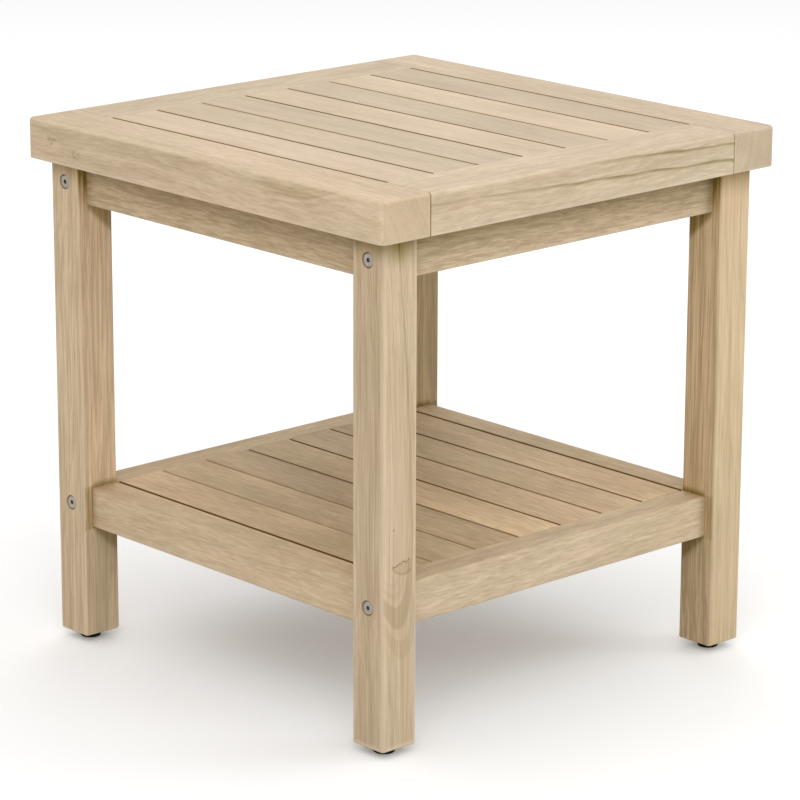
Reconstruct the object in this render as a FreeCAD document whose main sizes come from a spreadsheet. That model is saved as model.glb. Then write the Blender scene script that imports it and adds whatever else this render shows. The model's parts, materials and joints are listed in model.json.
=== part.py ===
"""End table with a slatted top and a slatted shelf, as a parametric FreeCAD document.

Frame: millimetres, +Z up, the origin on the floor under the middle of the table.
X runs along the slats and Y across them. The front is -Y and the left is -X.

Each wooden piece is drawn in a frame of its own, as it stands at the front or at the left. Its twin at
the back or at the right is the same piece turned half round.
"""
import FreeCAD
import Part
import Sketcher

import os

VECTOR = FreeCAD.Vector
SLAT_COUNT = 7
SAME_PLACE = 0.01  # millimetres between two places that count as one
PARALLEL = 0.999  # cosine between two directions that count as one
LEAST_CUT = 0.1  # cubic millimetres that a cutting feature has to remove

# ---------------------------------------------------------------------------------------------------
# Driving dimensions: alias, millimetres, meaning
# ---------------------------------------------------------------------------------------------------
DRIVING_SIZES = [
    ("top_length", 500, "top, along X"),
    ("top_depth", 500, "top, along Y"),
    ("table_height", 518, "floor to the upper face of the top"),
    ("top_thickness", 39, "border boards of the top"),
    ("top_overhang", 15.25, "top beyond the outer faces of the legs"),
    ("top_corner_radius", 6, "upright corners of the top"),
    ("top_edge_radius", 3, "upper edge round the top"),
    ("top_lower_edge_radius", 1, "lower edge round the top"),
    ("leg_side", 41, "square section of a leg"),
    ("leg_edge_radius", 3, "long edges of a leg"),
    ("leg_end_chamfer", 1, "lower end of a leg"),
    ("rail_setback", 10.5, "outer face of a rail behind the outer face of the leg"),
    ("rail_edge_radius", 1.5, "long edges of an apron or a shelf rail"),
    ("apron_height", 41, "aprons under the top"),
    ("shelf_height", 158, "floor to the upper face of the shelf"),
    ("shelf_rail_height", 40, "rails round the shelf"),
    ("slat_thickness", 20, "slats of the top and the shelf"),
    ("slat_gap", 2.5, "between slats, and beside the first and the last"),
    ("slat_edge_radius", 0.8, "long upper edges of a slat"),
    ("seam_chamfer", 0.4, "eased edges where two boards of the top meet"),
    ("tongue_thickness", 8, "tongue on each end of a slat"),
    ("tongue_length", 10, "tongue on each end of a slat"),
    ("leg_tenon_thickness", 12, "tenon into a leg"),
    ("leg_tenon_length", 14, "tenon into a leg"),
    ("leg_tenon_shoulder", 5, "above and below a tenon into a leg"),
    ("top_tenon_thickness", 13, "tenon of an end rail of the top"),
    ("top_tenon_length", 25, "tenon of an end rail of the top"),
    ("top_tenon_shoulder", 8, "beside a tenon of an end rail of the top"),
    ("joint_clearance", 0.15, "each side of a tenon or a tongue"),
    ("end_clearance", 1, "past the end of a tenon, a tongue, a dowel, a nut, a bolt or a screw"),
    ("bore_clearance", 0.15, "radial, round a bolt, a nut, a dowel, an insert or a screw"),
    ("bolt_diameter", 6, "shank of a connector bolt"),
    ("bolt_head_diameter", 13, "flat head of a connector bolt"),
    ("bolt_head_thickness", 2.3, "flat head of a connector bolt"),
    ("bolt_rim_chamfer", 0.6, "rim of a flat head"),
    ("bolt_tip_chamfer", 1, "end of a shank"),
    ("hex_socket_width", 4, "across the flats of the socket in a flat head"),
    ("hex_socket_depth", 3, "socket in a flat head"),
    ("head_clearance", 0.5, "radial, round a head in its counterbore"),
    ("leg_bolt_recess", 0.8, "face of a leg bolt's head below the face of the leg"),
    ("leg_bolt_past_nut", 4.1, "end of a leg bolt beyond the middle of its nut"),
    ("lower_bolt_rise", 2.5, "lower leg bolts above the middle of the shelf rails"),
    ("nut_diameter", 10, "barrel nut"),
    ("nut_length", 14, "barrel nut"),
    ("nut_inset", 28, "middle of a barrel nut from the end of its rail"),
    ("nut_slot_width", 1.4, "screwdriver slot in the lower end of a barrel nut"),
    ("nut_slot_depth", 1.5, "screwdriver slot in the lower end of a barrel nut"),
    ("dowel_diameter", 8, "locating dowel"),
    ("dowel_length", 30, "locating dowel, half in the leg and half in the rail"),
    ("dowel_end_chamfer", 1, "locating dowel"),
    ("dowel_drop", 13, "dowel below the bolt of the same joint"),
    ("top_bolt_spacing", 240, "between the two top bolts of one apron"),
    ("top_bolt_inset", 7.7, "face of a top bolt's head above the lower edge of the apron"),
    ("top_bolt_reach", 14, "end of a top bolt above the lower face of the top"),
    ("insert_diameter", 10, "threaded insert in the top"),
    ("insert_length", 15, "threaded insert in the top"),
    ("foot_height", 8, "glide under a leg"),
    ("foot_diameter", 20, "glide under a leg"),
    ("foot_edge_radius", 1.5, "lower edge of a glide"),
    ("foot_web", 4, "part of a glide that its screw clamps"),
    ("foot_screw_diameter", 4, "shank of the screw in a glide"),
    ("foot_screw_reach", 20, "end of the screw above the lower end of the leg"),
    ("foot_screw_tip", 3, "pointed part of the screw"),
    ("foot_screw_head_diameter", 8, "pan head of the screw"),
    ("foot_screw_head_height", 3, "pan head of the screw"),
    ("foot_screw_head_bevel", 1.2, "rim of the pan head"),
    ("foot_screw_drive_width", 1.2, "arms of the cross recess in the pan head"),
    ("foot_screw_drive_span", 4.6, "cross recess in the pan head"),
    ("foot_screw_drive_depth", 1.6, "cross recess in the pan head"),
]

# ---------------------------------------------------------------------------------------------------
# Derived sizes and places, as expressions of the driving dimensions
# ---------------------------------------------------------------------------------------------------
BORDER_WIDTH = "(Sizes.top_overhang + Sizes.leg_side)"
RAIL_THICKNESS = "(Sizes.leg_side - Sizes.rail_setback)"

# The borders of the top and the rails are flush with the inner faces of the legs, so the slats of the
# top and of the shelf fill the same opening.
OPENING_X = f"(Sizes.top_length - 2 * {BORDER_WIDTH})"
OPENING_Y = f"(Sizes.top_depth - 2 * {BORDER_WIDTH})"
SLAT_WIDTH = f"(({OPENING_Y} - {SLAT_COUNT + 1} * Sizes.slat_gap) / {SLAT_COUNT})"

LEG_X = f"({OPENING_X} / 2 + Sizes.leg_side / 2)"
LEG_Y = f"({OPENING_Y} / 2 + Sizes.leg_side / 2)"
LEG_TOP = "(Sizes.table_height - Sizes.top_thickness)"

RAIL_X = f"({OPENING_X} / 2 + {RAIL_THICKNESS} / 2)"
RAIL_Y = f"({OPENING_Y} / 2 + {RAIL_THICKNESS} / 2)"
LEG_TO_RAIL = "(Sizes.rail_setback / 2)"
APRON_Z = f"({LEG_TOP} - Sizes.apron_height / 2)"
SHELF_RAIL_Z = "(Sizes.shelf_height - Sizes.shelf_rail_height / 2)"

BORDER_X = f"(Sizes.top_length / 2 - {BORDER_WIDTH} / 2)"
BORDER_Y = f"(Sizes.top_depth / 2 - {BORDER_WIDTH} / 2)"
BORDER_Z = "(Sizes.table_height - Sizes.top_thickness / 2)"

UPPER_BOLT_Z = APRON_Z
LOWER_BOLT_Z = f"({SHELF_RAIL_Z} + Sizes.lower_bolt_rise)"
COUNTERBORE_DIAMETER = "(Sizes.bolt_head_diameter + 2 * Sizes.head_clearance)"
BOLT_HOLE_DIAMETER = "(Sizes.bolt_diameter + 2 * Sizes.bore_clearance)"
BOLT_HOLE_DEPTH = "(Sizes.nut_inset + Sizes.leg_bolt_past_nut + Sizes.end_clearance)"
NUT_HOLE_DIAMETER = "(Sizes.nut_diameter + 2 * Sizes.bore_clearance)"
DOWEL_HOLE_DIAMETER = "(Sizes.dowel_diameter + 2 * Sizes.bore_clearance)"
DOWEL_HOLE_DEPTH = "(Sizes.dowel_length / 2 + Sizes.end_clearance)"
SCREW_HOLE_DIAMETER = "(Sizes.foot_screw_diameter + 2 * Sizes.bore_clearance)"

document = FreeCAD.newDocument("EndTable")
sheet = document.addObject("Spreadsheet::Sheet", "Sizes")
for row, (alias, size, meaning) in enumerate(DRIVING_SIZES, start=1):
    sheet.set(f"A{row}", alias)
    sheet.set(f"B{row}", str(size))
    sheet.set(f"C{row}", meaning)
    sheet.setAlias(f"B{row}", alias)
document.recompute()


# ---------------------------------------------------------------------------------------------------
# Bodies and sketches bound to the sheet
# ---------------------------------------------------------------------------------------------------
def bind(target, **expressions):
    """Binds properties of an object to expressions. Two underscores in a name stand for a dot."""
    for name, expression in expressions.items():
        target.setExpression(name.replace("__", "."), expression)


def new_body(label, x="0", y="0", z="0", turned=False):
    """A body at x, y, z, or half round about the table's upright axis from there if it is turned."""
    body = document.addObject("PartDesign::Body", label)
    body.Label = label
    sign = "-" if turned else ""
    angle = 180 if turned else 0
    body.Placement = FreeCAD.Placement(VECTOR(0, 0, 0), FreeCAD.Rotation(VECTOR(0, 0, 1), angle))
    bind(body, Placement__Base__x=f"{sign}({x})", Placement__Base__y=f"{sign}({y})", Placement__Base__z=z)
    return body


def origin_plane(body, role):
    return next(feature for feature in body.Origin.OriginFeatures if feature.Role == role)


def new_sketch(body, role, across="0", up="0", out="0"):
    """An empty sketch on a plane of the body, with its origin moved across, up and out of that plane.

    Out is along the plane's normal: +Z for XY_Plane, -Y for XZ_Plane and +X for YZ_Plane.
    """
    sketch = body.newObject("Sketcher::SketchObject", f"{body.Label}_sketch")
    sketch.AttachmentSupport = [(origin_plane(body, role), "")]
    sketch.MapMode = "FlatFace"
    bind(
        sketch,
        AttachmentOffset__Base__x=across,
        AttachmentOffset__Base__y=up,
        AttachmentOffset__Base__z=out,
    )
    return sketch


def dimension(sketch, kind, expression, *geometry):
    """A dimensional constraint that follows an expression."""
    value = sheet.evalExpression(expression)
    index = sketch.addConstraint(Sketcher.Constraint(kind, *geometry, float(value)))
    sketch.setExpression(f"Constraints[{index}]", expression)


def draw_outline(sketch, points):
    """A closed outline of straight lines through points given as pairs of expressions."""
    corners = [VECTOR(*(float(sheet.evalExpression(text)) for text in point), 0) for point in points]
    count = len(corners)
    for index, corner in enumerate(corners):
        sketch.addGeometry(Part.LineSegment(corner, corners[(index + 1) % count]), False)
    for index, (across, up) in enumerate(points):
        sketch.addConstraint(Sketcher.Constraint("Coincident", index, 2, (index + 1) % count, 1))
        dimension(sketch, "DistanceX", across, -1, 1, index, 1)
        dimension(sketch, "DistanceY", up, -1, 1, index, 1)


def draw_rectangle(sketch, width, height):
    """A rectangle with its middle on the sketch's origin."""
    left, right = f"-({width}) / 2", f"({width}) / 2"
    low, high = f"-({height}) / 2", f"({height}) / 2"
    draw_outline(sketch, [(left, low), (right, low), (right, high), (left, high)])


def draw_hexagon(sketch, width):
    """A hexagon about the sketch's origin, from its width across the flats."""
    corner = f"({width} / sqrt(3))"
    flat = f"({width} / 2)"
    right = [(f"{corner} / 2", f"-{flat}"), (corner, "0"), (f"{corner} / 2", flat)]
    left = [(f"-{corner} / 2", flat), (f"-{corner}", "0"), (f"-{corner} / 2", f"-{flat}")]
    draw_outline(sketch, right + left)


def draw_cross(sketch, span, width):
    """An upright cross about the sketch's origin."""
    tip = f"({span} / 2)"
    arm = f"({width} / 2)"
    lower_right = [(arm, f"-{tip}"), (arm, f"-{arm}"), (tip, f"-{arm}")]
    upper_right = [(tip, arm), (arm, arm), (arm, tip)]
    upper_left = [(f"-{arm}", tip), (f"-{arm}", arm), (f"-{tip}", arm)]
    lower_left = [(f"-{tip}", f"-{arm}"), (f"-{arm}", f"-{arm}"), (f"-{arm}", f"-{tip}")]
    draw_outline(sketch, lower_right + upper_right + upper_left + lower_left)


def draw_circles(sketch, diameter, centres=(("0", "0"),)):
    for index, (across, up) in enumerate(centres):
        centre = VECTOR(float(sheet.evalExpression(across)), float(sheet.evalExpression(up)), 0)
        sketch.addGeometry(Part.Circle(centre, VECTOR(0, 0, 1), 1), False)
        dimension(sketch, "DistanceX", across, -1, 1, index, 3)
        dimension(sketch, "DistanceY", up, -1, 1, index, 3)
        dimension(sketch, "Diameter", diameter, index)


# ---------------------------------------------------------------------------------------------------
# Features
# ---------------------------------------------------------------------------------------------------
def pad(body, sketch, length, symmetric=False):
    feature = body.newObject("PartDesign::Pad", f"{body.Label}_pad")
    feature.Profile = sketch
    feature.SideType = "Symmetric" if symmetric else "One side"
    bind(feature, Length=length)


def pocket(body, sketch, depth):
    """Cuts a pocket to a depth. It is cut to both sides of its sketch, which lies on a face."""
    feature = body.newObject("PartDesign::Pocket", f"{body.Label}_pocket")
    feature.Profile = sketch
    feature.SideType = "Symmetric"
    bind(feature, Length=f"2 * ({depth})")
    return feature


def counterbored_holes(body, sketch, head_depth, upward=False):
    """Clearance holes for connector bolts, right through the body, with room for the flat heads."""
    document.recompute()
    hole = body.newObject("PartDesign::Hole", f"{body.Label}_hole")
    hole.Profile = sketch
    hole.Reversed = upward
    hole.DepthType = "ThroughAll"
    hole.HoleCutType = "Counterbore"
    hole.HoleCutCustomValues = True
    bind(hole, Diameter=BOLT_HOLE_DIAMETER, HoleCutDiameter=COUNTERBORE_DIAMETER, HoleCutDepth=head_depth)


def turn(body, sketch):
    """A solid of revolution about the upright line through the sketch's origin."""
    feature = body.newObject("PartDesign::Revolution", f"{body.Label}_revolution")
    feature.Profile = sketch
    feature.ReferenceAxis = (sketch, ["V_Axis"])
    feature.Angle = 360


def edges_where(shape, test):
    """Names of the edges whose middle and direction pass a test."""
    names = []
    for number, edge in enumerate(shape.Edges, start=1):
        middle_parameter = (edge.FirstParameter + edge.LastParameter) / 2
        if test(edge.valueAt(middle_parameter), edge.tangentAt(middle_parameter)):
            names.append(f"Edge{number}")
    return names


def dress(body, kind, test, size):
    """A Fillet or a Chamfer on the edges of the body that pass a test."""
    document.recompute()
    base = body.Tip
    feature = body.newObject(f"PartDesign::{kind}", f"{body.Label}_{kind.lower()}")
    feature.Base = (base, edges_where(base.Shape, test))
    if kind == "Fillet":
        bind(feature, Radius=size)
    else:
        bind(feature, Size=size)


def mirror(body, role, features=None):
    """Mirrors some features of the body in one of its planes, or all of it if none are named."""
    document.recompute()
    feature = body.newObject("PartDesign::Mirrored", f"{body.Label}_mirrored")
    if features:
        feature.Originals = features
    else:
        feature.TransformMode = "Whole shape"
    feature.MirrorPlane = (origin_plane(body, role), [""])
    body.Tip = feature


def mirror_to_four(body):
    """Makes the piece at the front left into four, one in each quarter of the table."""
    mirror(body, "YZ_Plane")
    mirror(body, "XZ_Plane")


def is_near(value, target):
    return abs(value - target) < SAME_PLACE


def lies_along(axis):
    """A test for the edges along one axis."""
    return lambda middle, direction: abs(direction.dot(axis)) > PARALLEL


ALONG_X = lies_along(VECTOR(1, 0, 0))
ALONG_Y = lies_along(VECTOR(0, 1, 0))
ALONG_Z = lies_along(VECTOR(0, 0, 1))


# ---------------------------------------------------------------------------------------------------
# Frame: legs, aprons and shelf rails
# ---------------------------------------------------------------------------------------------------
def make_leg(label, inward, turned):
    """A leg. Inward is +1 where the table lies on its +X side in its own frame and -1 otherwise."""
    body = new_body(label, f"-{inward} * {LEG_X}", f"-{LEG_Y}", "Sizes.foot_height", turned)
    section = new_sketch(body, "XY_Plane")
    draw_rectangle(section, "Sizes.leg_side", "Sizes.leg_side")
    pad(body, section, f"{LEG_TOP} - Sizes.foot_height")
    dress(body, "Fillet", ALONG_Z, "Sizes.leg_edge_radius")
    dress(body, "Chamfer", lambda middle, direction: is_near(middle.z, 0), "Sizes.leg_end_chamfer")

    for rail_z, rail_height in [(APRON_Z, "Sizes.apron_height"), (SHELF_RAIL_Z, "Sizes.shelf_rail_height")]:
        mortise = new_sketch(
            body, "YZ_Plane", LEG_TO_RAIL, f"{rail_z} - Sizes.foot_height", f"{inward} * Sizes.leg_side / 2"
        )
        draw_rectangle(
            mortise,
            "Sizes.leg_tenon_thickness + 2 * Sizes.joint_clearance",
            f"{rail_height} - 2 * Sizes.leg_tenon_shoulder + 2 * Sizes.joint_clearance",
        )
        pocket(body, mortise, "Sizes.leg_tenon_length + Sizes.end_clearance")

    bolt_heights = [f"{UPPER_BOLT_Z} - Sizes.foot_height", f"{LOWER_BOLT_Z} - Sizes.foot_height"]
    dowels = new_sketch(body, "XZ_Plane", out="-Sizes.leg_side / 2")
    dowel_heights = [f"{height} - Sizes.dowel_drop" for height in bolt_heights]
    draw_circles(dowels, DOWEL_HOLE_DIAMETER, [("0", height) for height in dowel_heights])
    pocket(body, dowels, DOWEL_HOLE_DEPTH)

    pilot = new_sketch(body, "XY_Plane")
    draw_circles(pilot, SCREW_HOLE_DIAMETER)
    pocket(body, pilot, "Sizes.foot_screw_reach + Sizes.end_clearance")

    bolts = new_sketch(body, "XZ_Plane", out="Sizes.leg_side / 2")
    draw_circles(bolts, BOLT_HOLE_DIAMETER, [("0", height) for height in bolt_heights])
    counterbored_holes(body, bolts, "Sizes.leg_bolt_recess + Sizes.bolt_head_thickness")
    return body


def make_cross_rail(label, middle_z, height, turned, top_bolts=False):
    """A front or back apron or shelf rail, with a tenon into the leg at each end."""
    body = new_body(label, "0", f"-{RAIL_Y}", middle_z, turned)
    section = new_sketch(body, "YZ_Plane")
    draw_rectangle(section, RAIL_THICKNESS, height)
    pad(body, section, OPENING_X, symmetric=True)
    dress(body, "Fillet", ALONG_X, "Sizes.rail_edge_radius")
    tenon = new_sketch(body, "YZ_Plane")
    draw_rectangle(tenon, "Sizes.leg_tenon_thickness", f"{height} - 2 * Sizes.leg_tenon_shoulder")
    pad(body, tenon, f"{OPENING_X} + 2 * Sizes.leg_tenon_length", symmetric=True)

    if top_bolts:
        bolts = new_sketch(body, "XY_Plane", out=f"-{height} / 2")
        half_spacing = "Sizes.top_bolt_spacing / 2"
        draw_circles(bolts, BOLT_HOLE_DIAMETER, [(half_spacing, "0"), (f"-{half_spacing}", "0")])
        counterbored_holes(body, bolts, "Sizes.top_bolt_inset + Sizes.bolt_head_thickness", upward=True)
    return body


def make_side_rail(label, middle_z, height, bolt_z, turned):
    """A left or right apron or shelf rail, bolted to the legs, with room for its nuts and dowels."""
    body = new_body(label, f"-{RAIL_X}", "0", middle_z, turned)
    section = new_sketch(body, "XZ_Plane")
    draw_rectangle(section, RAIL_THICKNESS, height)
    pad(body, section, OPENING_Y, symmetric=True)
    dress(body, "Fillet", ALONG_Y, "Sizes.rail_edge_radius")

    bolt_up = f"({bolt_z} - {middle_z})"
    end = f"{OPENING_Y} / 2"
    bolt = new_sketch(body, "XZ_Plane", f"-{LEG_TO_RAIL}", bolt_up, end)
    draw_circles(bolt, BOLT_HOLE_DIAMETER)
    bolt_hole = pocket(body, bolt, BOLT_HOLE_DEPTH)
    dowel = new_sketch(body, "XZ_Plane", f"-{LEG_TO_RAIL}", f"{bolt_up} - Sizes.dowel_drop", end)
    draw_circles(dowel, DOWEL_HOLE_DIAMETER)
    dowel_hole = pocket(body, dowel, DOWEL_HOLE_DEPTH)
    nut = new_sketch(body, "XY_Plane", f"-{LEG_TO_RAIL}", f"-({end} - Sizes.nut_inset)", f"-{height} / 2")
    draw_circles(nut, NUT_HOLE_DIAMETER)
    nut_top = f"{bolt_up} + Sizes.nut_length / 2 + Sizes.end_clearance"
    nut_hole = pocket(body, nut, f"{height} / 2 + {nut_top}")
    mirror(body, "XZ_Plane", [bolt_hole, dowel_hole, nut_hole])
    return body


def cut_groove(body, inner_face, upper_face):
    """A groove for the tongues of all the slats, in the inner face of a rail that runs along Y."""
    groove = new_sketch(body, "YZ_Plane", "0", f"{upper_face} - Sizes.slat_thickness / 2", inner_face)
    draw_rectangle(
        groove,
        f"{OPENING_Y} - 2 * Sizes.slat_gap + 2 * Sizes.joint_clearance",
        "Sizes.tongue_thickness + 2 * Sizes.joint_clearance",
    )
    pocket(body, groove, "Sizes.tongue_length + Sizes.end_clearance")


# ---------------------------------------------------------------------------------------------------
# Top and slats
# ---------------------------------------------------------------------------------------------------
def make_long_board(label, turned):
    """A front or back border board, whose ends show at the sides of the top."""
    body = new_body(label, "0", f"-{BORDER_Y}", BORDER_Z, turned)
    outline = new_sketch(body, "XY_Plane")
    draw_rectangle(outline, "Sizes.top_length", BORDER_WIDTH)
    pad(body, outline, "Sizes.top_thickness", symmetric=True)
    half_width = float(sheet.evalExpression(BORDER_WIDTH)) / 2
    half_thickness = sheet.top_thickness / 2

    def is_outer_corner(middle, direction):
        return ALONG_Z(middle, direction) and middle.y < 0

    def is_seam(middle, direction):
        return is_near(middle.y, half_width)

    def is_upper_rim(middle, direction):
        return is_near(middle.z, half_thickness) and not is_seam(middle, direction)

    def is_lower_rim(middle, direction):
        return is_near(middle.z, -half_thickness) and not is_seam(middle, direction)

    dress(body, "Fillet", is_outer_corner, "Sizes.top_corner_radius")
    dress(body, "Fillet", is_upper_rim, "Sizes.top_edge_radius")
    dress(body, "Fillet", is_lower_rim, "Sizes.top_lower_edge_radius")
    dress(body, "Chamfer", is_seam, "Sizes.seam_chamfer")

    for side in ("-", ""):
        mortise = new_sketch(body, "XZ_Plane", f"{side}{BORDER_X}", "0", f"-{BORDER_WIDTH} / 2")
        draw_rectangle(
            mortise,
            f"{BORDER_WIDTH} - 2 * Sizes.top_tenon_shoulder + 2 * Sizes.joint_clearance",
            "Sizes.top_tenon_thickness + 2 * Sizes.joint_clearance",
        )
        pocket(body, mortise, "Sizes.top_tenon_length + Sizes.end_clearance")

    half_spacing = "Sizes.top_bolt_spacing / 2"
    inserts = new_sketch(body, "XY_Plane", "0", f"{BORDER_Y} - {RAIL_Y}", "-Sizes.top_thickness / 2")
    insert_hole_diameter = "Sizes.insert_diameter + 2 * Sizes.bore_clearance"
    draw_circles(inserts, insert_hole_diameter, [(half_spacing, "0"), (f"-{half_spacing}", "0")])
    pocket(body, inserts, "max(Sizes.insert_length; Sizes.top_bolt_reach) + Sizes.end_clearance")
    return body


def make_end_rail(label, turned):
    """A left or right border board, between the long boards and tenoned into them."""
    body = new_body(label, f"-{BORDER_X}", "0", BORDER_Z, turned)
    section = new_sketch(body, "XZ_Plane")
    draw_rectangle(section, BORDER_WIDTH, "Sizes.top_thickness")
    pad(body, section, OPENING_Y, symmetric=True)
    half_length = float(sheet.evalExpression(OPENING_Y)) / 2

    def is_outer_upper(middle, direction):
        return ALONG_Y(middle, direction) and middle.x < 0 < middle.z

    def is_outer_lower(middle, direction):
        return ALONG_Y(middle, direction) and middle.x < 0 and middle.z < 0

    def is_seam(middle, direction):
        return is_near(abs(middle.y), half_length)

    dress(body, "Fillet", is_outer_upper, "Sizes.top_edge_radius")
    dress(body, "Fillet", is_outer_lower, "Sizes.top_lower_edge_radius")
    dress(body, "Chamfer", is_seam, "Sizes.seam_chamfer")
    tenon = new_sketch(body, "XZ_Plane")
    draw_rectangle(tenon, f"{BORDER_WIDTH} - 2 * Sizes.top_tenon_shoulder", "Sizes.top_tenon_thickness")
    pad(body, tenon, f"{OPENING_Y} + 2 * Sizes.top_tenon_length", symmetric=True)
    cut_groove(body, f"{BORDER_WIDTH} / 2", "Sizes.top_thickness / 2")
    return body


def make_slat(label, index, upper_face):
    """One slat of the top or the shelf, counted from the front, with a tongue on each end."""
    pitch = f"({SLAT_WIDTH} + Sizes.slat_gap)"
    steps_from_middle = index - (SLAT_COUNT - 1) / 2
    body = new_body(label, "0", f"{steps_from_middle} * {pitch}", f"{upper_face} - Sizes.slat_thickness / 2")
    section = new_sketch(body, "YZ_Plane")
    draw_rectangle(section, SLAT_WIDTH, "Sizes.slat_thickness")
    pad(body, section, OPENING_X, symmetric=True)

    def is_long_upper(middle, direction):
        return ALONG_X(middle, direction) and middle.z > 0

    def is_end_upper(middle, direction):
        return ALONG_Y(middle, direction) and is_near(middle.z, sheet.slat_thickness / 2)

    dress(body, "Fillet", is_long_upper, "Sizes.slat_edge_radius")
    dress(body, "Chamfer", is_end_upper, "Sizes.seam_chamfer")
    tongue = new_sketch(body, "YZ_Plane")
    draw_rectangle(tongue, SLAT_WIDTH, "Sizes.tongue_thickness")
    pad(body, tongue, f"{OPENING_X} + 2 * Sizes.tongue_length", symmetric=True)
    return body


# ---------------------------------------------------------------------------------------------------
# Hardware, four of each in one node
# ---------------------------------------------------------------------------------------------------
def bolt_outline(length):
    """Half the section of a connector bolt: radius, and distance from the outer face of its head."""
    head_radius = "Sizes.bolt_head_diameter / 2"
    shank_radius = "Sizes.bolt_diameter / 2"
    return [
        ("0", "0"),
        (f"{head_radius} - Sizes.bolt_rim_chamfer", "0"),
        (head_radius, "Sizes.bolt_rim_chamfer"),
        (head_radius, "Sizes.bolt_head_thickness"),
        (shank_radius, "Sizes.bolt_head_thickness"),
        (shank_radius, f"{length} - Sizes.bolt_tip_chamfer"),
        (f"{shank_radius} - Sizes.bolt_tip_chamfer", length),
        ("0", length),
    ]


def make_leg_bolts(label, bolt_z):
    """Connector bolts through the legs, along Y, into the ends of the side rails."""
    body = new_body(label)
    head_face = f"({LEG_Y} + Sizes.leg_side / 2 - Sizes.leg_bolt_recess)"
    tip = f"({OPENING_Y} / 2 - Sizes.nut_inset - Sizes.leg_bolt_past_nut)"
    outline = new_sketch(body, "XY_Plane", f"-{LEG_X}", f"-{head_face}", bolt_z)
    draw_outline(outline, bolt_outline(f"({head_face} - {tip})"))
    turn(body, outline)
    socket = new_sketch(body, "XZ_Plane", f"-{LEG_X}", bolt_z, head_face)
    draw_hexagon(socket, "Sizes.hex_socket_width")
    pocket(body, socket, "Sizes.hex_socket_depth")
    mirror_to_four(body)
    return body


def make_top_bolts(label):
    """Connector bolts up through the front and back aprons into the inserts in the top."""
    body = new_body(label)
    x = "-Sizes.top_bolt_spacing / 2"
    head_face = f"({LEG_TOP} - Sizes.apron_height + Sizes.top_bolt_inset)"
    outline = new_sketch(body, "XZ_Plane", x, head_face, RAIL_Y)
    draw_outline(outline, bolt_outline(f"({LEG_TOP} + Sizes.top_bolt_reach - {head_face})"))
    turn(body, outline)
    socket = new_sketch(body, "XY_Plane", x, f"-{RAIL_Y}", head_face)
    draw_hexagon(socket, "Sizes.hex_socket_width")
    pocket(body, socket, "Sizes.hex_socket_depth")
    mirror_to_four(body)
    return body


def make_top_inserts(label):
    """Threaded inserts in the long boards of the top, over the top bolts."""
    body = new_body(label)
    inner = f"{BOLT_HOLE_DIAMETER} / 2"
    outer = "Sizes.insert_diameter / 2"
    wall = new_sketch(body, "XZ_Plane", "-Sizes.top_bolt_spacing / 2", LEG_TOP, RAIL_Y)
    draw_outline(
        wall,
        [(inner, "0"), (outer, "0"), (outer, "Sizes.insert_length"), (inner, "Sizes.insert_length")],
    )
    turn(body, wall)
    mirror_to_four(body)
    return body


def make_barrel_nuts(label, bolt_z):
    """Upright barrel nuts in the side rails, crossed by the leg bolts."""
    body = new_body(label)
    y = f"({OPENING_Y} / 2 - Sizes.nut_inset)"
    lower_end = f"{bolt_z} - Sizes.nut_length / 2"
    barrel = new_sketch(body, "XY_Plane", f"-{LEG_X}", f"-{y}", lower_end)
    draw_circles(barrel, "Sizes.nut_diameter")
    pad(body, barrel, "Sizes.nut_length")
    thread = new_sketch(body, "XZ_Plane", f"-{LEG_X}", bolt_z, y)
    draw_circles(thread, BOLT_HOLE_DIAMETER)
    pocket(body, thread, "Sizes.nut_diameter")
    slot = new_sketch(body, "XY_Plane", f"-{LEG_X}", f"-{y}", lower_end)
    draw_rectangle(slot, "Sizes.nut_slot_width", "2 * Sizes.nut_diameter")
    pocket(body, slot, "Sizes.nut_slot_depth")
    mirror_to_four(body)
    return body


def make_dowels(label, bolt_z):
    """Locating dowels below the leg bolts, half in the leg and half in the side rail."""
    body = new_body(label)
    section = new_sketch(body, "XZ_Plane", f"-{LEG_X}", f"{bolt_z} - Sizes.dowel_drop", f"{OPENING_Y} / 2")
    draw_circles(section, "Sizes.dowel_diameter")
    pad(body, section, "Sizes.dowel_length", symmetric=True)

    def is_rim(middle, direction):
        return not ALONG_Y(middle, direction)

    dress(body, "Chamfer", is_rim, "Sizes.dowel_end_chamfer")
    mirror_to_four(body)
    return body


def make_foot(label, x_sign, y_sign):
    """A round glide, screwed to the lower end of a leg, with its screw's head sunk in it."""
    body = new_body(label, f"{x_sign} * {LEG_X}", f"{y_sign} * {LEG_Y}")
    hole = f"{SCREW_HOLE_DIAMETER} / 2"
    head_hole = "Sizes.foot_screw_head_diameter / 2 + Sizes.head_clearance"
    ledge = "Sizes.foot_height - Sizes.foot_web"
    rim = "Sizes.foot_diameter / 2"
    outline = new_sketch(body, "XZ_Plane")
    draw_outline(
        outline,
        [
            (head_hole, "0"),
            (rim, "0"),
            (rim, "Sizes.foot_height"),
            (hole, "Sizes.foot_height"),
            (hole, ledge),
            (head_hole, ledge),
        ],
    )
    turn(body, outline)
    rim_radius = sheet.foot_diameter / 2

    def is_lower_rim(middle, direction):
        return is_near(middle.z, 0) and is_near(middle.Length, rim_radius)

    dress(body, "Fillet", is_lower_rim, "Sizes.foot_edge_radius")
    return body


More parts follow.
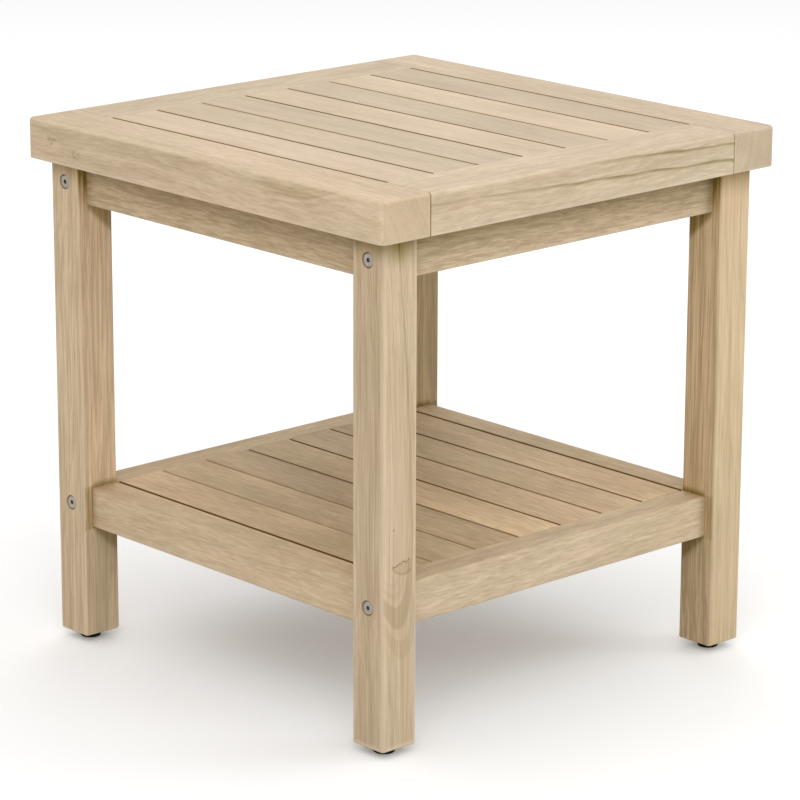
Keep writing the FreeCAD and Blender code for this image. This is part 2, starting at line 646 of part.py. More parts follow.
def make_foot_screws(label):
    """Pan-head wood screws up through the glides into the legs."""
    body = new_body(label)
    head_face = "(Sizes.foot_height - Sizes.foot_web - Sizes.foot_screw_head_height)"
    end = f"(Sizes.foot_height + Sizes.foot_screw_reach - {head_face})"
    head_radius = "Sizes.foot_screw_head_diameter / 2"
    shank_radius = "Sizes.foot_screw_diameter / 2"
    outline = new_sketch(body, "XZ_Plane", f"-{LEG_X}", head_face, LEG_Y)
    draw_outline(
        outline,
        [
            ("0", "0"),
            (f"{head_radius} - Sizes.foot_screw_head_bevel", "0"),
            (head_radius, "Sizes.foot_screw_head_bevel"),
            (head_radius, "Sizes.foot_screw_head_height"),
            (shank_radius, "Sizes.foot_screw_head_height"),
            (shank_radius, f"{end} - Sizes.foot_screw_tip"),
            ("0", end),
        ],
    )
    turn(body, outline)
    drive = new_sketch(body, "XY_Plane", f"-{LEG_X}", f"-{LEG_Y}", head_face)
    draw_cross(drive, "Sizes.foot_screw_drive_span", "Sizes.foot_screw_drive_width")
    pocket(body, drive, "Sizes.foot_screw_drive_depth")
    mirror_to_four(body)
    return body


# ---------------------------------------------------------------------------------------------------
# The table
# ---------------------------------------------------------------------------------------------------
def make_table():
    """Builds every sub-part and returns a list of pairs: the sub-part, and how many solids it holds."""
    single = [
        make_leg("leg_front_left", 1, turned=False),
        make_leg("leg_front_right", -1, turned=False),
        make_leg("leg_back_right", 1, turned=True),
        make_leg("leg_back_left", -1, turned=True),
    ]
    for turned, side in [(False, "front"), (True, "back")]:
        single += [
            make_cross_rail(f"{side}_apron", APRON_Z, "Sizes.apron_height", turned, top_bolts=True),
            make_cross_rail(f"shelf_{side}_rail", SHELF_RAIL_Z, "Sizes.shelf_rail_height", turned),
            make_long_board(f"top_{side}_board", turned),
        ]
    for turned, side in [(False, "left"), (True, "right")]:
        shelf_rail = make_side_rail(
            f"shelf_{side}_rail", SHELF_RAIL_Z, "Sizes.shelf_rail_height", LOWER_BOLT_Z, turned
        )
        cut_groove(shelf_rail, f"{RAIL_THICKNESS} / 2", "Sizes.shelf_rail_height / 2")
        single += [
            make_side_rail(f"{side}_apron", APRON_Z, "Sizes.apron_height", UPPER_BOLT_Z, turned),
            shelf_rail,
            make_end_rail(f"top_{side}_end_rail", turned),
        ]
    for index in range(SLAT_COUNT):
        single += [
            make_slat(f"top_slat_{index + 1}", index, "Sizes.table_height"),
            make_slat(f"shelf_slat_{index + 1}", index, "Sizes.shelf_height"),
        ]
    for y_sign, depth_side in [(-1, "front"), (1, "back")]:
        for x_sign, width_side in [(-1, "left"), (1, "right")]:
            single.append(make_foot(f"foot_{depth_side}_{width_side}", x_sign, y_sign))
    groups_of_four = [
        make_leg_bolts("leg_bolts_upper", UPPER_BOLT_Z),
        make_leg_bolts("leg_bolts_lower", LOWER_BOLT_Z),
        make_barrel_nuts("barrel_nuts_upper", UPPER_BOLT_Z),
        make_barrel_nuts("barrel_nuts_lower", LOWER_BOLT_Z),
        make_dowels("dowels_upper", UPPER_BOLT_Z),
        make_dowels("dowels_lower", LOWER_BOLT_Z),
        make_top_bolts("top_bolts"),
        make_top_inserts("top_inserts"),
        make_foot_screws("foot_screws"),
    ]
    return [(body, 1) for body in single] + [(body, 4) for body in groups_of_four]


CUTTING_FEATURES = [f"PartDesign::{kind}" for kind in ("Pocket", "Hole", "Fillet", "Chamfer")]


def check_document(sub_parts):
    """Stops if an object failed, a cut removed nothing, or a sub-part isn't the solids it should be."""
    for item in document.Objects:
        if {"Invalid", "Error"} & set(item.State):
            raise RuntimeError(f"{item.Label} is {item.State}")
        if item.TypeId in CUTTING_FEATURES:
            if item.BaseFeature.Shape.Volume - item.Shape.Volume < LEAST_CUT:
                raise RuntimeError(f"{item.Label} removes nothing")
    for body, solid_count in sub_parts:
        if body.Shape.isNull() or not body.Shape.isValid():
            raise RuntimeError(f"{body.Label} has no valid shape")
        if len(body.Shape.Solids) != solid_count:
            raise RuntimeError(f"{body.Label} has {len(body.Shape.Solids)} solids, not {solid_count}")


def write_parts(sub_parts):
    os.makedirs("parts", exist_ok=True)
    for body, _ in sub_parts:
        body.Shape.exportStep(f"parts/{body.Label}.step")


table = make_table()
document.recompute()
check_document(table)
write_parts(table)
print(f"{len(table)} sub-parts written")
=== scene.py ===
"""End table with a slatted top and a slatted shelf: its looks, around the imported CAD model.

Frame: metres, +Z up, the origin on the floor under the middle of the table. X runs along the slats and
Y across them. The front is -Y and the right is +X.
"""

import json
import math
import random
from dataclasses import dataclass, replace

import bpy
from mathutils import Matrix, Vector


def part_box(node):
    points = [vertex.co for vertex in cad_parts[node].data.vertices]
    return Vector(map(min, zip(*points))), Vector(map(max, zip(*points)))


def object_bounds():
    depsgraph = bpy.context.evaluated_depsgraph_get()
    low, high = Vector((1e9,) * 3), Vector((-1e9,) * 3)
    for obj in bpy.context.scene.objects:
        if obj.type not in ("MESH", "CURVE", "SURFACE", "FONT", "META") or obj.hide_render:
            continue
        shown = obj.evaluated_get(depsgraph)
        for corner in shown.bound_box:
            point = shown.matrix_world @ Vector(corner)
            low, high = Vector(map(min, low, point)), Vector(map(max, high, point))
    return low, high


MM = 0.001
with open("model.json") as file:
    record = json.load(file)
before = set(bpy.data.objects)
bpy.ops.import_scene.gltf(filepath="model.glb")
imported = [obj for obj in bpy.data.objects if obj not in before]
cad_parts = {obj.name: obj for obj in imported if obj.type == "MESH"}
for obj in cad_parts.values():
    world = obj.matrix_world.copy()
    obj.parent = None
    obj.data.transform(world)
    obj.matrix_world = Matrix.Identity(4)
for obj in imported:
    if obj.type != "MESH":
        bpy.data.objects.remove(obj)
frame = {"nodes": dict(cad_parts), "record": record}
cad_low, cad_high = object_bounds()


# ---------------------------------------------------------------------------------------------------
# Camera, floor and light
# ---------------------------------------------------------------------------------------------------
FRAME_PIXELS = 800
FOCAL_PIXELS = 3699
CAMERA_PLACE = (2.5262, -2.3263, 1.2053)
CAMERA_AZIMUTH = 47.342
CAMERA_DOWN = 15.633
CAMERA_ROLL = 0.182

FLOOR_RADIUS = 9.0
# The floor lights the table as a mid grey. It is seen as a white that partly glows, which thins the shadow.
FLOOR_LIT = 0.50
FLOOR_SEEN = 1.0
FLOOR_GLOW = 0.13
SKY_LEVEL = 0.81
# Large soft lights: name, place, size, power and colour
SOFT_LIGHTS = [
    ("near", (1.8, -1.8, 2.0), 1.4, 17.5, (1.0, 1.0, 1.0)),
    ("right", (1.9, 2.0, 0.8), 1.2, 15.0, (0.90, 1.0, 1.0)),
    ("back", (-1.8, 1.8, 2.0), 1.4, 9.2, (1.0, 1.0, 1.0)),
]


def make_camera():
    data = bpy.data.cameras.new("camera")
    data.lens = FOCAL_PIXELS / FRAME_PIXELS * data.sensor_width
    data.clip_end = 100
    camera = bpy.data.objects.new("camera", data)
    bpy.context.scene.collection.objects.link(camera)
    turn = Matrix.Rotation(math.radians(CAMERA_AZIMUTH), 4, "Z")
    tip = Matrix.Rotation(math.radians(90 - CAMERA_DOWN), 4, "X")
    roll = Matrix.Rotation(math.radians(CAMERA_ROLL), 4, "Z")
    camera.matrix_world = Matrix.Translation(CAMERA_PLACE) @ turn @ tip @ roll
    bpy.context.scene.camera = camera


def make_soft_lights():
    """Large soft lights that look at the middle of the table."""
    for name, place, size, power, color in SOFT_LIGHTS:
        data = bpy.data.lights.new(name, "AREA")
        data.size = size
        data.energy = power
        data.color = color
        light = bpy.data.objects.new(name, data)
        bpy.context.scene.collection.objects.link(light)
        light.location = place
        aim = Vector((0, 0, (cad_low[2] + cad_high[2]) / 2)) - light.location
        light.rotation_euler = aim.to_track_quat("-Z", "Y").to_euler()


class Graph:
    """Adds nodes to a node tree. A socket's value is either a number, a tuple or another node's output."""

    def __init__(self, tree):
        self.tree = tree

    def put(self, socket, value):
        if isinstance(value, bpy.types.NodeSocket):
            self.tree.links.new(value, socket)
        else:
            socket.default_value = value

    def add(self, kind, values=(), **settings):
        """A node with some settings, and the values of its inputs as pairs of a name or index and a value."""
        node = self.tree.nodes.new(f"ShaderNode{kind}")
        for name, setting in settings.items():
            setattr(node, name, setting)
        for key, value in dict(values).items():
            self.put(node.inputs[key], value)
        return node

    def math(self, operation, *values, clamp=False):
        return self.add("Math", enumerate(values), operation=operation, use_clamp=clamp).outputs[0]

    def total(self, *values):
        """The sum of some values, kept between 0 and 1."""
        result = values[0]
        for value in values[1:]:
            result = self.math("ADD", result, value)
        return self.math("ADD", result, 0.0, clamp=True)

    def product(self, *values):
        result = values[0]
        for value in values[1:]:
            result = self.math("MULTIPLY", result, value)
        return result

    def vector(self, operation, *values):
        node = self.add("VectorMath", enumerate(values), operation=operation)
        return node.outputs["Value" if operation in ("LENGTH", "DOT_PRODUCT") else "Vector"]

    def split(self, vector):
        return self.add("SeparateXYZ", {"Vector": vector}).outputs[:]

    def join(self, x, y, z):
        return self.add("CombineXYZ", {"X": x, "Y": y, "Z": z}).outputs[0]

    def noise(self, vector, stretch, detail=2.0, roughness=0.5):
        """Noise from 0 to 1 whose lumps are about as many per metre, along each axis, as stretch says."""
        scaled = self.vector("MULTIPLY", vector, stretch)
        node = self.add("TexNoise", {"Vector": scaled, "Scale": 1, "Detail": detail, "Roughness": roughness})
        return node.outputs["Fac"]

    def ripple(self, vector, stretch, **settings):
        """Noise from -0.5 to 0.5."""
        return self.math("SUBTRACT", self.noise(vector, stretch, **settings), 0.5)

    def fade(self, value, start, end, low=0.0, high=1.0):
        """Goes smoothly from low to high as the value goes from start to end."""
        values = {"Value": value, "From Min": start, "From Max": end, "To Min": low, "To Max": high}
        return self.add("MapRange", values, interpolation_type="SMOOTHSTEP").outputs["Result"]

    def near(self, value, target, reach):
        """1 where the value is the target, and smoothly down to 0 where it is reach away from it."""
        return self.fade(self.math("ABSOLUTE", self.math("SUBTRACT", value, target)), 0, reach, 1, 0)

    def between(self, value, low, high, soft):
        """1 between low and high, and smoothly down to 0 over a soft stretch outside them."""
        return self.product(self.fade(value, low - soft, low), self.fade(value, high, high + soft, 1, 0))

    def blend(self, share, first, second, mode="MIX"):
        """Mixes two colours."""
        node = self.add("Mix", data_type="RGBA", blend_type=mode)
        for socket, value in zip((node.inputs[0], node.inputs[6], node.inputs[7]), (share, first, second)):
            self.put(socket, value)
        return node.outputs[2]

    def seen_directly(self):
        """1 for what is seen, also by reflection or through glass, and 0 for what lights the scene."""
        path = self.add("LightPath").outputs
        seen = self.math("MAXIMUM", path["Is Camera Ray"], path["Is Glossy Ray"])
        return self.math("MAXIMUM", seen, path["Is Transmission Ray"])


def new_material(name):
    material = bpy.data.materials.new(name)
    material.use_nodes = True
    material.node_tree.nodes.clear()
    return material, Graph(material.node_tree)


def add_surface(graph, inputs, height, strength, distance):
    """Ends a material with a principled surface that has these inputs and a bump of this height."""
    bump = graph.add("Bump", {"Height": height, "Strength": strength, "Distance": distance})
    surface = graph.add("BsdfPrincipled", {**inputs, "Normal": bump.outputs["Normal"]})
    graph.add("OutputMaterial", {"Surface": surface.outputs[0]})


def grey(level):
    return (level, level, level, 1)


def make_world():
    world = bpy.data.worlds.new("studio")
    world.use_nodes = True
    world.node_tree.nodes.clear()
    graph = Graph(world.node_tree)
    sky = graph.add("Background", {"Color": grey(1), "Strength": SKY_LEVEL})
    graph.add("OutputWorld", {"Surface": sky.outputs[0]})
    bpy.context.scene.world = world


def make_floor():
    """A pale round floor. It is seen whiter than it lights the table, and keeps the table's shadow."""
    bpy.ops.mesh.primitive_circle_add(vertices=96, radius=FLOOR_RADIUS, fill_type="NGON")
    floor = bpy.context.object
    floor.name = "floor"
    material, graph = new_material("floor")
    lit = graph.add("BsdfDiffuse", {"Color": grey(FLOOR_LIT)})
    shown = graph.add("BsdfDiffuse", {"Color": grey(FLOOR_SEEN)})
    glow = graph.add("Emission", {"Color": grey(1), "Strength": FLOOR_GLOW})
    seen = graph.add("AddShader", {0: shown.outputs[0], 1: glow.outputs[0]})
    both = graph.add("MixShader", {0: graph.seen_directly(), 1: lit.outputs[0], 2: seen.outputs[0]})
    graph.add("OutputMaterial", {"Surface": both.outputs[0]})
    floor.data.materials.append(material)


# ---------------------------------------------------------------------------------------------------
# Wood
# ---------------------------------------------------------------------------------------------------
# The mean colour of a board of level 1, and the share of each channel that full warmth takes away
BASE_WOOD = (0.680, 0.530, 0.376)
WARMTH = (0.0, 0.25, 1.0)
# Shares of a board's mean colour
PALE_GRAIN = (1.17, 1.18, 1.20)
DARK_GRAIN = (0.83, 0.80, 0.75)
# Pale edges: partly rubbed wear, partly painted highlight along the arrises
RUBBED_AND_HIGHLIT_EDGE = (1.24, 1.29, 1.37)
# Casts that drift over a board, the tint of a full mark, which also serves painted shade, and the tint of
# a dark groove
PINK_CAST = (1.010, 0.995, 0.988, 1)
OLIVE_CAST = (0.990, 1.002, 0.974, 1)
SHADE = (0.36, 0.33, 0.12, 1)
GROOVE = (0.38, 0.26, 0.14, 1)
# How far the grain drifts across a board, the shine of unmarked wood, which fades out under marks,
# painted shade and grooves, and the shade of end grain
GRAIN_DRIFT = 0.020
UNMARKED_SHINE = 0.35
END_GRAIN_SHADE = 0.10

# Fields of a board that are inputs of its wood, too
BOARD_FIELDS = (
    "rise",
    "grain",
    "side_grain",
    "fibre_length",
    "clouds",
    "slant",
    "figure",
    "taper",
    "ring_width",
    "wear",
    "wear_reach",
    "low_groove",
    "high_groove",
    "groove_reach",
)


def input_name(field):
    """The name of the wood's input for a field of a board, such as Ring Width for ring_width."""
    return field.replace("_", " ").title()


WOOD_INPUTS = [
    ("Point", "NodeSocketVector"),
    ("Half Size", "NodeSocketVector"),
    ("Pith", "NodeSocketVector"),
    ("Pale", "NodeSocketColor"),
    ("Dark", "NodeSocketColor"),
    ("Rubbed And Highlit", "NodeSocketColor"),
    ("Seed", "NodeSocketFloat"),
    ("Mark", "NodeSocketFloat"),
    *((input_name(field), "NodeSocketFloat") for field in BOARD_FIELDS),
]
WOOD_OUTPUTS = [
    ("Color", "NodeSocketColor"),
    ("Roughness", "NodeSocketFloat"),
    ("Shine", "NodeSocketFloat"),
    ("Height", "NodeSocketFloat"),
]


def make_wood_group():
    """Solid wood of a board that runs along its own x, with y across it and z up.

    Streaks, fibres and pores are drawn out along the board. Growth rings lie round a pith and open
    towards one end of the board, so that a face which cuts them at a slant shows arches.
    """
    tree = bpy.data.node_groups.new("solid_wood", "ShaderNodeTree")
    for name, kind in WOOD_INPUTS:
        tree.interface.new_socket(name, in_out="INPUT", socket_type=kind)
    for name, kind in WOOD_OUTPUTS:
        tree.interface.new_socket(name, in_out="OUTPUT", socket_type=kind)
    graph = Graph(tree)
    given = tree.nodes.new("NodeGroupInput").outputs
    shift = graph.vector("MULTIPLY", graph.join(given["Seed"], given["Seed"], given["Seed"]), (3.7, 5.3, 7.9))
    point = graph.vector("ADD", given["Point"], shift)

    # The grain drifts across the board as it runs along it
    along, across, up = graph.split(given["Point"])
    drift = graph.ripple(point, (3.2, 12, 12), detail=1.5)
    climb = graph.math("MULTIPLY_ADD", drift, GRAIN_DRIFT, graph.math("MULTIPLY", along, given["Slant"]))
    along_fibres = graph.math("DIVIDE", along, given["Fibre Length"])
    bent = graph.join(along_fibres, graph.math("ADD", across, climb), graph.math("ADD", up, climb))
    grain_point = graph.vector("ADD", bent, shift)

    # How far in from the board's faces the point is. Grain is weaker on an end, where it is cut across.
    half_length, half_width, _ = graph.split(given["Half Size"])
    from_middle = graph.vector("ABSOLUTE", given["Point"])
    inside = graph.split(graph.vector("SUBTRACT", given["Half Size"], from_middle))
    end_grain = graph.fade(inside[0], 0.3 * MM, 1.5 * MM, 1, 0)

    # Growth rings: each has its own strength, and groups of rings share a tone
    from_pith = graph.split(graph.vector("SUBTRACT", bent, given["Pith"]))
    radius = graph.vector("LENGTH", graph.join(0.0, from_pith[1], from_pith[2]))
    opened_radius = graph.math("MULTIPLY_ADD", along, given["Taper"], radius)
    ring = graph.math("DIVIDE", opened_radius, given["Ring Width"])
    ring_number = graph.math("FLOOR", ring)
    ring_strength = graph.add("TexWhiteNoise", {"W": ring_number}, noise_dimensions="1D").outputs["Value"]
    ring_part = graph.math("FRACT", ring)
    late_wood = graph.product(graph.math("POWER", ring_part, 2.2), graph.fade(ring_part, 0.86, 1.0, 1, 0))
    tone_node = graph.add("TexNoise", {"W": ring, "Scale": 0.31, "Detail": 2.0}, noise_dimensions="1D")
    tones = graph.math("SUBTRACT", tone_node.outputs["Fac"], 0.5)
    rings = graph.math("MULTIPLY_ADD", late_wood, ring_strength, tones)

    # Fibres, pores and clouds
    streaks = graph.ripple(grain_point, (10, 150, 150), detail=5, roughness=0.66)
    dashes = graph.ripple(grain_point, (45, 400, 400), detail=2)
    fibres = graph.ripple(grain_point, (60, 850, 850), detail=2)
    pores = graph.fade(graph.noise(grain_point, (105, 1500, 1500), detail=1), 0.60, 0.76)
    flecks = graph.fade(graph.noise(grain_point, (40, 520, 520), detail=1), 0.62, 0.80)
    clouds = graph.ripple(point, (7, 22, 22), detail=3)

    light = 0.0
    for layer, share in ((streaks, 0.95), (dashes, 1.00), (fibres, 0.85), (pores, -0.45), (flecks, 0.45)):
        light = graph.math("MULTIPLY_ADD", layer, share, light)
    on_side = graph.fade(inside[1], 0.5 * MM, 2 * MM, given["Side Grain"], 1)
    light = graph.product(light, given["Grain"], on_side, graph.fade(end_grain, 0, 1, 1, 0.4))
    light = graph.math("MULTIPLY_ADD", clouds, given["Clouds"], light)
    light = graph.math("SUBTRACT", light, graph.math("MULTIPLY", rings, given["Figure"]))
    light = graph.math("ADD", light, 0.5, clamp=True)
    color = graph.blend(light, given["Dark"], given["Pale"])
    cast_share = graph.fade(graph.noise(point, (9, 28, 28), detail=2), 0.36, 0.64)
    color = graph.blend(1.0, color, graph.blend(cast_share, OLIVE_CAST, PINK_CAST), mode="MULTIPLY")

    # The board gets lighter or darker from its middle to its ends, partly as its own tone and partly as
    # painted light and shade
    rise = graph.math("MULTIPLY", graph.math("DIVIDE", along, half_length), given["Rise"])
    color = graph.blend(1.0, color, graph.math("ADD", rise, 1.0), mode="MULTIPLY")

    # Edges paler, partly as rubbed wear and partly as painted highlight. The second smallest distance to a
    # face of the board is the one to its edge
    nearer = graph.math("MINIMUM", inside[0], inside[1])
    farther = graph.math("MAXIMUM", inside[0], inside[1])
    to_edge = graph.math("MAXIMUM", nearer, graph.math("MINIMUM", farther, inside[2]))
    ragged = graph.ripple(point, (45, 160, 160), detail=3)
    to_ragged_edge = graph.math("MULTIPLY_ADD", ragged, 4 * MM, to_edge)
    paling_depth = graph.math("DIVIDE", to_ragged_edge, given["Wear Reach"])
    wear = graph.product(graph.fade(paling_depth, 0.3, 1.0, 1, 0), given["Wear"])
    color = graph.blend(wear, color, given["Rubbed And Highlit"])

    # The board's marks, its own and painted shade, and dark grooves beside it
    shade = graph.math("MAXIMUM", given["Mark"], graph.math("MULTIPLY", end_grain, END_GRAIN_SHADE))
    color = graph.blend(1.0, color, graph.blend(shade, grey(1), SHADE), mode="MULTIPLY")
    groove = 0.0
    for to_side, strength in (
        (graph.math("ADD", half_width, across), given["Low Groove"]),
        (graph.math("SUBTRACT", half_width, across), given["High Groove"]),
    ):
        depth = graph.fade(graph.math("DIVIDE", to_side, given["Groove Reach"]), 0.3, 1.0, 1, 0)
        groove = graph.math("MULTIPLY_ADD", depth, strength, groove)
    color = graph.blend(1.0, color, graph.blend(groove, grey(1), GROOVE), mode="MULTIPLY")

    roughness = graph.math("MULTIPLY_ADD", streaks, 0.16, 0.62)
    roughness = graph.math("MULTIPLY_ADD", wear, -0.10, roughness)
    shine = graph.fade(graph.math("MAXIMUM", shade, groove), 0, 1, UNMARKED_SHINE, 0)
    height = graph.math("MULTIPLY_ADD", pores, -0.8, graph.math("MULTIPLY", fibres, 0.9))
    height = graph.math("MULTIPLY_ADD", streaks, 0.7, height)
    results = tree.nodes.new("NodeGroupOutput")
    for (name, _), value in zip(WOOD_OUTPUTS, (color, roughness, shine, height)):
        tree.links.new(value, results.inputs[name])
    return tree


@dataclass
class Board:
    """The wood of one piece. Its grain runs along an axis of the frame, and lengths are in metres."""

    axis: str
    level: float = 1.0
    warmth: float = 0.0
    rise: float = 0.0
    grain: float = 1.0
    side_grain: float = 1.0
    fibre_length: float = 1.0
    clouds: float = 1.0
    slant: float = 0.0
    figure: float = 0.3
    pith: tuple = (0.0, 0.11, 0.05)
    taper: float = 0.02
    ring_width: float = 0.0045
    wear: float = 0.3
    wear_reach: float = 3 * MM
    low_groove: float = 0.0
    high_groove: float = 0.0
    groove_reach: float = 0.6 * MM
    marks: tuple = ()


def random_board(seed, axis, **changes):
    """A board with its own slant, figure, pith, taper and width of rings."""
    draw = random.Random(seed)
    pith_side = draw.choice((-1, 1)) * draw.uniform(0.05, 0.16)
    pith_height = draw.choice((-1, 1)) * draw.uniform(0.02, 0.09)
    board = Board(
        axis,
        slant=draw.uniform(-0.02, 0.02),
        figure=draw.uniform(0.25, 0.45),
        pith=(0.0, pith_side, pith_height),
        taper=draw.uniform(-0.03, 0.03),
        ring_width=draw.uniform(0.0035, 0.0060),
    )
    return replace(board, **changes)


# ---------------------------------------------------------------------------------------------------
# Marks: how dark each point of a board is, from 0 to 1, from its own marks and from painted shade. They take
# a point of the frame.
# ---------------------------------------------------------------------------------------------------
leg_low, leg_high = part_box("leg_front_right")
top_low, top_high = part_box("top_front_board")
rail_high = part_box("top_right_end_rail")[1]
apron_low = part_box("front_apron")[0]
shelf_low, shelf_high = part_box("shelf_front_rail")

LEG_MIDDLE = (leg_low + leg_high) / 2
FACE_DEPTH = 1.5 * MM
# How dark the painted shades of legs, aprons and rails are where they are fullest
UNDER_TOP_DARKNESS = 0.55
LEG_SIDE_DARKNESS = 0.14
AT_LEGS_DARKNESS = 0.22
FRONT_APRON_DARKNESS = 0.22
SIDE_APRON_DARKNESS = 0.37
APRON_CONTACT_DARKNESS = 0.12
BESIDE_APRON_DARKNESS = 0.95
BESIDE_RAIL_DARKNESS = 0.50
ABOVE_SHELF_DARKNESS = 0.75
# The wedges of shade below an apron and below a rail of the shelf: where each starts, and how dark it is
WEDGES = ((apron_low[2], 0.62), (shelf_low[2], 0.50))
# How much darker the strips are on the inner faces that look to the left and to the right
SIDE_STRIP_GAIN = 1.3
# The middle of the painted ring of shade in the gap round a bolt's head, its reach and how dark it is
BOLT_RIM_RADIUS = 6.9 * MM
BOLT_RIM_REACH = 0.8 * MM
BOLT_RIM_DARKNESS = 0.6
# How dark the streaks and the outer edge of the back right leg are
BACK_STREAKS_DARKNESS = (0.06, 0.26)
BACK_EDGE_DARKNESS = 0.30
# How dark the mottled painted shade on the upper faces of the shelf's rails is
RAIL_TOP_SHADE_DARKNESS = (0.12, 0.22)
# The seams at the ends of the top's end rails: how dark they are away from the outer face, as a share, and
# how dark the back one is
INNER_SEAM_SHARE = 0.35
BACK_SEAM_SHARE = 0.55


def on_face(graph, value, level):
    """1 within a face's depth of a level of one coordinate, on either side of the frame's middle."""
    return graph.near(graph.math("ABSOLUTE", value), abs(level), FACE_DEPTH)


def mark_shade_under_top(graph, place):
    """Painted shade right under the overhang of the top."""
    height = graph.split(place)[2]
    ragged = graph.math("MULTIPLY_ADD", graph.noise(place, (60, 60, 30), detail=2), 12 * MM, height)
    return graph.fade(ragged, top_low[2] - 20 * MM, top_low[2] + 10 * MM, 0, UNDER_TOP_DARKNESS)


def mark_side_shade(graph, place):
    """Further shade at the top of the outer faces of the legs, to the right and to the left."""
    x, _, z = graph.split(place)
    ragged = graph.math("MULTIPLY_ADD", graph.noise(place, (60, 60, 30), detail=2), 8 * MM, z)
    shade = graph.fade(ragged, top_low[2] - 27 * MM, top_low[2] - 16 * MM, 0, LEG_SIDE_DARKNESS)
    return graph.product(shade, on_face(graph, x, leg_high[0]))


def shade_at_legs(graph, x, y, reach):
    """Shade on the ends of a rail between two legs. It runs along the coordinate that stays smaller."""
    along = graph.math("MINIMUM", graph.math("ABSOLUTE", x), graph.math("ABSOLUTE", y))
    return graph.fade(along, leg_low[0] - reach, leg_low[0], 0, AT_LEGS_DARKNESS)


def mark_apron_shade(graph, place):
    """Streaky shade on an apron. It grows towards the overhang and the legs, most on the side aprons."""
    x, y, z = graph.split(place)
    streaks = graph.ripple(place, (10, 10, 190), detail=3)
    ragged = graph.math("MULTIPLY_ADD", streaks, 26 * MM, z)
    broad = graph.fade(ragged, apron_low[2] + 2 * MM, apron_low[2] + 28 * MM)
    ends = (leg_low[0], abs(apron_low[1]))
    darkness = graph.fade(graph.math("ABSOLUTE", x), *ends, FRONT_APRON_DARKNESS, SIDE_APRON_DARKNESS)
    contact = graph.fade(z, apron_low[2] + 25 * MM, apron_low[2] + 30 * MM, 0, APRON_CONTACT_DARKNESS)
    return graph.total(graph.product(broad, darkness), contact, shade_at_legs(graph, x, y, 17 * MM))


def mark_rail_ends(graph, place):
    """Shade on the ends of a rail of the shelf, beside the legs."""
    x, y, _ = graph.split(place)
    return shade_at_legs(graph, x, y, 9 * MM)


def mark_bolt_rim_shade(graph, place):
    """Painted shade in the gap round each bolt's head: a dark ring on the front and back faces of the legs.
    """
    x, y, z = graph.split(place)
    sideways = graph.math("SUBTRACT", graph.math("ABSOLUTE", x), LEG_MIDDLE[0])
    rims = []
    for name in ("leg_bolts_upper", "leg_bolts_lower"):
        low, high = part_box(name)
        upwards = graph.math("SUBTRACT", z, (low[2] + high[2]) / 2)
        radius = graph.vector("LENGTH", graph.join(sideways, upwards, 0.0))
        rims.append(graph.near(radius, BOLT_RIM_RADIUS, BOLT_RIM_REACH))
    return graph.product(graph.math("MAXIMUM", *rims), on_face(graph, y, leg_low[1]), BOLT_RIM_DARKNESS)


def mark_inner_corners(graph, place):
    """Shade on a leg's inner faces: beyond aprons and rails, in wedges below them, and above the shelf."""
    x, y, z = graph.split(place)
    streaks = graph.fade(graph.noise(place, (420, 420, 12), detail=2), 0.35, 0.6, 0.4, 1)
    beside_apron = graph.fade(z, apron_low[2] - 14 * MM, apron_low[2] + 24 * MM, 0, BESIDE_APRON_DARKNESS)
    beside_rail = graph.product(graph.between(z, shelf_low[2], shelf_high[2], 4 * MM), BESIDE_RAIL_DARKNESS)
    strip_height = graph.product(graph.math("MAXIMUM", beside_apron, beside_rail), streaks)
    above_shelf = graph.product(graph.near(z, shelf_high[2], 8 * MM), ABOVE_SHELF_DARKNESS)
    faces = []
    for inner, outer, gain in ((x, y, SIDE_STRIP_GAIN), (y, x, 1.0)):
        outwards = graph.math("SUBTRACT", graph.math("ABSOLUTE", outer), abs(apron_low[1]))
        profile = graph.product(graph.fade(outwards, -3 * MM, 0), graph.fade(outwards, 0, 4 * MM, 1, 0.75))
        slanted = graph.math("MULTIPLY_ADD", outwards, -0.9, z)
        behind = graph.fade(outwards, -3 * MM, 1 * MM, 1, 0)
        shades = [graph.product(strip_height, profile, gain), graph.product(above_shelf, behind)]
        for level, darkness in WEDGES:
            wedge = graph.fade(slanted, level - 8 * MM, level + 1 * MM, 0, darkness)
            shades.append(graph.product(wedge, behind, graph.between(z, level - 50 * MM, level, 3 * MM)))
        faces.append(graph.product(graph.total(*shades), on_face(graph, inner, leg_low[0])))
    return graph.math("MAXIMUM", *faces)


# Where the marks on the right face of the front right leg are, along y and z. The spot fades out between
# two distances from its place.
TEAR_Y = (-0.223, -0.204)
TEAR_START = (-0.2246, 0.1800)
TEAR_SLOPE = 0.2
HOLLOW_Y = (-0.2225, -0.2015)
HOLLOW_BOTTOM = (-0.2095, 0.1705)
SPOT_PLACE = (-0.2220, 0.215)
SPOT_REACH = (0.5 * MM, 1.7 * MM)
FLAME_Y = -0.2145
FLAME_Z = (0.444, 0.468)
# The arches lean: their axis goes through a place and moves along y as it rises. Each arch has a lower
# and an upper end, and a strength.
ARCH_AXIS = (-0.2155, 0.1240)
ARCH_LEAN = -0.19
ARCHES = ((0.094, 0.108, 0.13), (0.123, 0.141, 0.27), (0.152, 0.154, 0.12), (0.163, 0.164, 0.08))
# How fast the rim of the hollow, the arches and the flame curve
RIM_CURVE = 36
ARCH_CURVE = 80
FLAME_CURVE = 94
# How dark the tear, the spot and the flame are
TEAR_DARKNESS = 0.8
SPOT_DARKNESS = 0.55
FLAME_DARKNESS = 0.20
# Painted shade on the front face of the leg grows between these heights, from the first darkness to the
# second
FRONT_SHADE_Z = (0.12, 0.40)
FRONT_SHADE = (0.04, 0.20)


def curved_height(graph, sideways, curve, z):
    """The height z, less what a parabola of this curve has risen to at a distance sideways."""
    return graph.math("MULTIPLY_ADD", graph.product(sideways, sideways), -curve, z)


